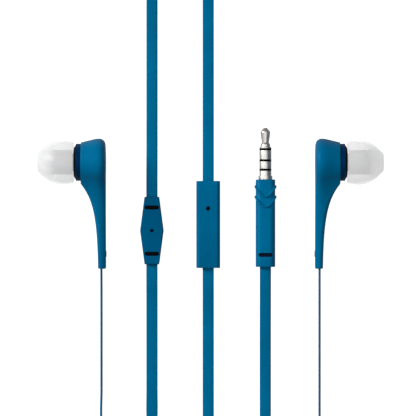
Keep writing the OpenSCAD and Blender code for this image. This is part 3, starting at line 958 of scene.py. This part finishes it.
button = rounded_block(round_rect(3.4, 7.8, 0.9), -2.05, -1.2, 0.22, 0.02)
add_piece("button_cap", *moved(button, (REMOTE[0], REMOTE[1] + BUTTON_Y, REMOTE[2])),
          "button_blue", body="button", angle=50)
rim = rounded_block(round_rect(4.4, 8.8, 0.9), -1.3, -1.12, 0.05, 0.05, 2)
add_piece("button_rim", *moved(rim, (REMOTE[0], REMOTE[1] + BUTTON_Y, REMOTE[2])),
          "button_blue", body="button", angle=50)
stub = lathe([(0, -1.1), (0.6, -1.1), (0.6, -0.85), (0.55, -0.8), (0, -0.8)],
             lambda a, b, d: (REMOTE[0] + a, REMOTE[1] + BUTTON_Y + b, REMOTE[2] + d), 32)
add_piece("button_stub", *stub, "button_blue", body="button", angle=50)
for piece in ("button_cap", "button_rim", "button_stub"):
    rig.replaces(bpy.data.objects[piece], "remote_button")

# ---------------------------------------------------------------- splitter
SPLITTER = (-17.25, -8.05, 2.1)
SPLITTER_W, SPLITTER_END, SPLITTER_L, SPLITTER_T = 6.9, 4.3, 19.9, 4.2
SLOT_Y = 6.8


def diamond(shrink, end_r=0.0, waist_r=0.0):
    """The splitter's outline, drawn in by shrink before its corners are rounded."""
    x, y, w = SPLITTER_END / 2, SPLITTER_L / 2, SPLITTER_W / 2
    corners = inset([(x, -y), (w, 0), (x, y), (-x, y), (-w, 0), (-x, -y)], shrink)
    radii = [end_r, waist_r, end_r] * 2
    return fillet(corners, radii, steps=5) if end_r else corners


def splitter_half(name, way):
    top = SPLITTER_T / 2
    levels = ((0, 0.0), (0, top - 0.34), (0.04, top - 0.2), (0.12, top - 0.08), (0.26, top))
    rings = [[(x, y, way * z) for x, y in diamond(d, 0.36 - d, 1.6)] for d, z in levels]
    obj = add_piece(f"{name}_cover", *moved(loft(rings), SPLITTER), "splitter_blue",
                    nodes=[name], angle=28)
    low, high = sorted((-way * 0.5, way * (top - 0.75)))
    cavity = prism([(x, y * (SPLITTER_L - 3) / SPLITTER_L) for x, y in diamond(0.8)], low, high)
    cable = box((-NOTCH / 2, -SPLITTER_L, -0.77), (NOTCH / 2, SPLITTER_L, 0.77))
    low, high = sorted((way * 0.9, way * 3))
    tools = [cavity, cable, prism(disc(0.52), low, high)]
    tools += [moved(prism(pill(4.3, 1.2), low, high), (0, y, 0)) for y in (-SLOT_Y, SLOT_Y)]
    return cut(obj, [cutter(*moved(tool, SPLITTER)) for tool in tools], angle=28)


splitter_half("splitter_front_shell", 1)
splitter_half("splitter_rear_shell", -1)
# Black blocks sunk in the splitter's slots: painted shade, so that the slots read as dark holes
for way, face in ((1, "front"), (-1, "back")):
    low, high = sorted((way * 1.45, way * (SPLITTER_T / 2 - 0.3)))
    for n, y in enumerate((SLOT_Y, -SLOT_Y)):
        slot_shade = moved(rounded_block(pill(4.24, 1.14), low, high, 0.05, 0.05, 2), (0, y, 0))
        add_piece(f"splitter_inlay_{face}_{n + 1}", *moved(slot_shade, SPLITTER), "black_plastic")

# ---------------------------------------------------------------- plug
PLUG = (16.15, 6.97, 2.6)
GRIP_W, GRIP_L, GRIP_T = 5.75, 25.7, 4.8
GRIP_CORNER = 1.7
GRIP_SLOT_Y = -22.17
RIDGE_TOPS = (-2.27, -5.29)
RIDGE_DROP, RIDGE_HALF, RIDGE_CURVE = 2.9, 2.79, 2.1
RIDGE_REACH = 3.85
RIDGE_LOW = 2.725
BACK_RIDGE = 0.43  # height of the ridges on the back, as a share of those in front


def add_grip():
    outline = round_rect(GRIP_W, GRIP_T, GRIP_CORNER, steps=10)
    rings = []
    for y, pull in ((-GRIP_L, 0.16), (-GRIP_L + 0.05, 0.05), (-GRIP_L + 0.16, 0),
                    (-0.16, 0), (-0.05, 0.05), (0, 0.16)):
        shape = inset(outline, pull) if pull else outline
        rings.append([(x, y, z) for x, z in shape])
    obj = add_piece("plug_sleeve", *moved(loft(rings), PLUG), "housing_blue",
                    nodes=["plug_grip"], angle=32)
    inner = box((-2.1, 1.5 - GRIP_L, -1.65), (2.1, -1.5, 1.65))
    mouth = lathe([(0, -2), (1.5, -2), (1.5, 1), (0, 1)], lambda a, b, d: (a, d, b), 64)
    cable = box((-NOTCH / 2, -GRIP_L - 1, -0.6), (NOTCH / 2, -GRIP_L + 2, 0.6))
    slot = moved(prism(pill(4.15, 1.15), -5, 5), (0, GRIP_SLOT_Y, 0))
    return cut(obj, [cutter(*moved(tool, PLUG)) for tool in (inner, mouth, cable, slot)], angle=32)


def add_ridge(name, y, way):
    """A thin raised U across the grip's face that runs on to its sides."""
    half, corner = GRIP_W / 2, GRIP_CORNER
    section = [(-0.42, -0.3), (-0.4, 0.28), (-0.26, 0.43), (0.2, 0.43), (0.36, 0.28), (0.42, -0.3)]
    rings = []
    for s in range(-36, 37):
        along = RIDGE_REACH * s / 36
        sign = math.copysign(1, along)
        flat = half - corner
        bend = (abs(along) - flat) / corner
        if bend <= 0:
            x, z, tilt = along, GRIP_T / 2, 0.0
        elif bend < math.pi / 2:
            tilt = bend
            x = sign * (flat + corner * math.sin(tilt))
            z = GRIP_T / 2 - corner * (1 - math.cos(tilt))
        else:
            tilt = math.pi / 2
            x = sign * half
            z = GRIP_T / 2 - corner - (abs(along) - flat - corner * math.pi / 2)
        share = min(abs(x), RIDGE_HALF) / RIDGE_HALF
        fall = RIDGE_DROP * share**RIDGE_CURVE
        slope = RIDGE_DROP * RIDGE_CURVE / RIDGE_HALF * share**(RIDGE_CURVE - 1) * math.cos(tilt)
        run = math.hypot(1, slope)
        fade = min(1, (RIDGE_REACH - abs(along)) / 0.3)
        ring = []
        for a, b in section:
            if b > 0:
                b *= fade * (1 if way > 0 else BACK_RIDGE)
            out = b * math.sin(tilt) * sign
            ring.append((x + out + sign * a * slope / run * math.cos(tilt),
                         y - RIDGE_LOW + fall - a / run,
                         way * (z + b * math.cos(tilt) - a * slope / run * math.sin(tilt))))
        rings.append(ring)
    return add_piece(name, *moved(loft(rings), PLUG), "housing_blue", angle=50)


add_grip()
for n, y in enumerate(RIDGE_TOPS):
    for way, face in ((1, "front"), (-1, "back")):
        add_ridge(f"grip_ridge_{face}_{n + 1}", y, way)


def pin_lathe(profile, round_off=0.05):
    return lathe(profile, lambda a, b, d: (PLUG[0] + a, PLUG[1] + d, PLUG[2] + b), 96, round_off)


COLLAR = 1.1
BARREL_END, RING_2, RING_1, TIP = COLLAR + 1.45, COLLAR + 2.05, COLLAR + 4.8, COLLAR + 8.1
RING_2_END, RING_1_END = COLLAR + 4.2, COLLAR + 7.5
PIN_R, SLEEVE_R = 1.75, 0.92

add_piece("pin_tip", *pin_lathe([
    (0, -1.2), (0.48, -1.2), (0.48, TIP), (PIN_R, TIP), (PIN_R, TIP + 0.3), (1.4, TIP + 0.45),
    (1.4, TIP + 1.1), (1.02, TIP + 1.7), (1.45, TIP + 4.65), (1.36, TIP + 4.95), (0.62, TIP + 5.86),
    (0.3, TIP + 6), (0, TIP + 6)]), "nickel", nodes=["plug_tip"])
for name, start, end in (("plug_ring_1", RING_1, RING_1_END), ("plug_ring_2", RING_2, RING_2_END)):
    add_piece(f"{name}_band", *pin_lathe([(SLEEVE_R, start), (PIN_R, start), (PIN_R, end),
                                         (SLEEVE_R, end)]), "nickel", nodes=[name])
add_piece("pin_barrel", *pin_lathe([
    (SLEEVE_R, -1.5), (1.45, -1.5), (1.45, 0), (2.05, 0), (2.05, COLLAR), (PIN_R, COLLAR),
    (PIN_R, BARREL_END), (SLEEVE_R, BARREL_END)]), "nickel", nodes=["plug_barrel"])
add_piece("pin_insulator", *pin_lathe([
    (0.5, -1.5), (0.9, -1.5), (0.9, BARREL_END), (1.76, BARREL_END), (1.76, RING_2),
    (0.9, RING_2), (0.9, RING_2_END), (1.76, RING_2_END), (1.76, RING_1), (0.9, RING_1),
    (0.9, RING_1_END), (1.76, RING_1_END), (1.76, TIP), (0.5, TIP)], 0.02),
    "black_plastic", nodes=["plug_insulator"])

# ---------------------------------------------------------------- kept CAD nodes
KEPT = {
    "remote_board": "circuit_board",
    "remote_dome_switch": "plated_steel",
    "remote_microphone": "gold_can",
    "remote_mic_screen": "black_plastic",
    "splitter_clamp": "black_plastic",
    # The plug core's near-black navy is painted shade for the slot over it
    "plug_core": "core_navy",
}
for bud in ("left", "right"):
    KEPT.update({
        f"{bud}_nozzle_mesh": "steel_mesh",
        f"{bud}_driver_frame": "plated_steel",
        f"{bud}_driver_magnet": "magnet",
        f"{bud}_voice_coil": "copper_wire",
        f"{bud}_diaphragm": "film",
        f"{bud}_damper": "felt",
    })
for node, slot in KEPT.items():
    obj = frame["nodes"][node]
    obj.data.materials.clear()
    obj.data.materials.append(MATERIALS[slot])

# ---------------------------------------------------------------- floor and light
FLOOR_HALF = 1.5  # metres
FLOOR_GLOW, FLOOR_GLOW_SEEN = 0.06, 0.93


def add_floor():
    mesh = bpy.data.meshes.new("floor")
    h = FLOOR_HALF
    mesh.from_pydata([(-h, -h, 0), (h, -h, 0), (h, h, 0), (-h, h, 0)], [], [(0, 1, 2, 3)])
    floor = bpy.data.objects.new("floor", mesh)
    scene.collection.objects.link(floor)
    material, tree, shader = new_material("pale_floor")
    colour = ramp(tree, noise(tree, 8), srgb("9c9c9c"), srgb("a0a0a0"))
    tree.links.new(colour, shader.inputs["Base Color"])
    shader.inputs["Roughness"].default_value = 0.9
    shader.inputs["Specular IOR Level"].default_value = 0.0
    shader.inputs["Emission Color"].default_value = (1, 1, 1, 1)
    # The stage looks white but throws little light back up at the object
    path = tree.nodes.new("ShaderNodeLightPath")
    glow = tree.nodes.new("ShaderNodeMapRange")
    glow.inputs["To Min"].default_value = FLOOR_GLOW
    glow.inputs["To Max"].default_value = FLOOR_GLOW_SEEN
    tree.links.new(path.outputs["Is Camera Ray"], glow.inputs["Value"])
    tree.links.new(glow.outputs["Result"], shader.inputs["Emission Strength"])
    floor.data.materials.append(material)
    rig.stage(floor)


def add_area(name, at, size, power):
    """A rectangular soft light aimed at the middle of the frame; metres and watts."""
    data = bpy.data.lights.new(name, "AREA")
    data.shape = "RECTANGLE"
    data.size, data.size_y = size
    data.energy = power
    light = bpy.data.objects.new(name, data)
    light.location = at
    light.rotation_euler = (-Vector(at)).to_track_quat("-Z", "Y").to_euler()
    scene.collection.objects.link(light)


add_floor()
add_area("key", (-1.12, 0.5, 0.62), (0.4, 0.8), 22)
add_area("overhead", (-0.05, 0.12, 1.35), (1.5, 1.5), 13.5)
world = bpy.data.worlds.new("studio")
scene.world = world
world.use_nodes = True
world.node_tree.nodes["Background"].inputs["Color"].default_value = (1, 1, 1, 1)
world.node_tree.nodes["Background"].inputs["Strength"].default_value = 0.1

# ---------------------------------------------------------------- finish
for cord in cords:
    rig.cord(exit=cord["path"][0], diameter=CABLE_W * MM, stiffness="limp", **cord)

visual_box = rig.bounds()
with open("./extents.json", "w") as out:
    json.dump({"cad": [list(c) for c in cad_box], "visual": [list(c) for c in visual_box]}, out)
